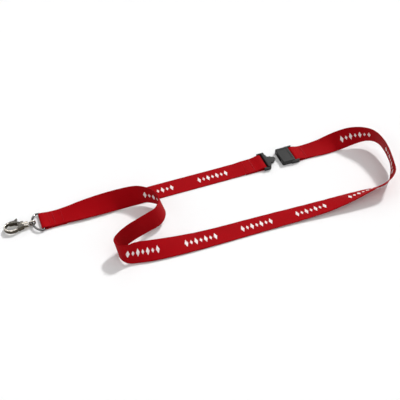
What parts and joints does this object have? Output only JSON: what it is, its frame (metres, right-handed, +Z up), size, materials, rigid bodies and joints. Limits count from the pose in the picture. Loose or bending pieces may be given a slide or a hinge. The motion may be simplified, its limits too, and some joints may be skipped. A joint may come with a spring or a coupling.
{
  "type": "lanyard",
  "caption": "Woven neck lanyard laid down loose, with a pull-apart safety catch standing open, a D-ring and a swivel hook with a sprung gate.",
  "frame": {"origin": "on the surface that the lanyard lies on, under the middle of its bounding box", "axes": "+X from the hook towards the far loop, +Z up"},
  "size_m": [0.388, 0.171, 0.0283],
  "materials": {
    "ribbon": "tight red polyester ribbon weave with a low sheen",
    "thread": "red polyester sewing thread",
    "print": "white screen-printed ink, matt",
    "black_plastic": "moulded acetal, fine satin texture",
    "nickel": "nickel-plated zinc casting, polished",
    "dark_wire": "nickel-plated steel wire",
    "pin_steel": "bright steel"
  },
  "bodies": {
    "strap": {"near_ribbon": "ribbon", "far_ribbon": "ribbon", "ring_fold": "ribbon", "socket_fold": "ribbon", "ring_stitching": "thread", "socket_stitching": "thread", "catch_socket": "black_plastic"},
    "tongue_half": {"catch_tongue": "black_plastic", "tongue_fold": "ribbon", "tongue_stitching": "thread"},
    "ring": {"d_ring": "dark_wire"},
    "eye": {"swivel_eye": "nickel"},
    "hook": {"hook_body": "nickel", "gate_pin": "pin_steel", "gate_spring": "pin_steel"},
    "gate": {"hook_gate": "nickel"}
  },
  "joints": [
    {"name": "catch_slide", "type": "slide", "parent": "strap", "child": "tongue_half", "axis": [0.9342, 0.3567, 0], "range_m": [0, 0.0122]},
    {"name": "ring_swing", "type": "hinge", "parent": "strap", "child": "ring", "pos_m": [-0.1583, -0.034, 0.002], "axis": [-0.3567, 0.9342, 0], "range_deg": [-90, 90]},
    {"name": "eye_swing", "type": "hinge", "parent": "ring", "child": "eye", "pos_m": [-0.16688, -0.03728, 0.00345], "axis": [-0.3074, 0.9516, 0], "range_deg": [-50, 50]},
    {"name": "hook_swivel", "type": "hinge", "parent": "eye", "child": "hook", "pos_m": [-0.16688, -0.03728, 0.00345], "axis": [-0.9516, -0.3074, 0], "continuous": true},
    {"name": "gate_swing", "type": "hinge", "parent": "hook", "child": "gate", "pos_m": [-0.17734, -0.03939, 0.00345], "axis": [0, 0, 1], "range_deg": [0, 28], "stiffness_Nm_per_rad": 0.01, "springref_deg": -20.05}
  ]
}
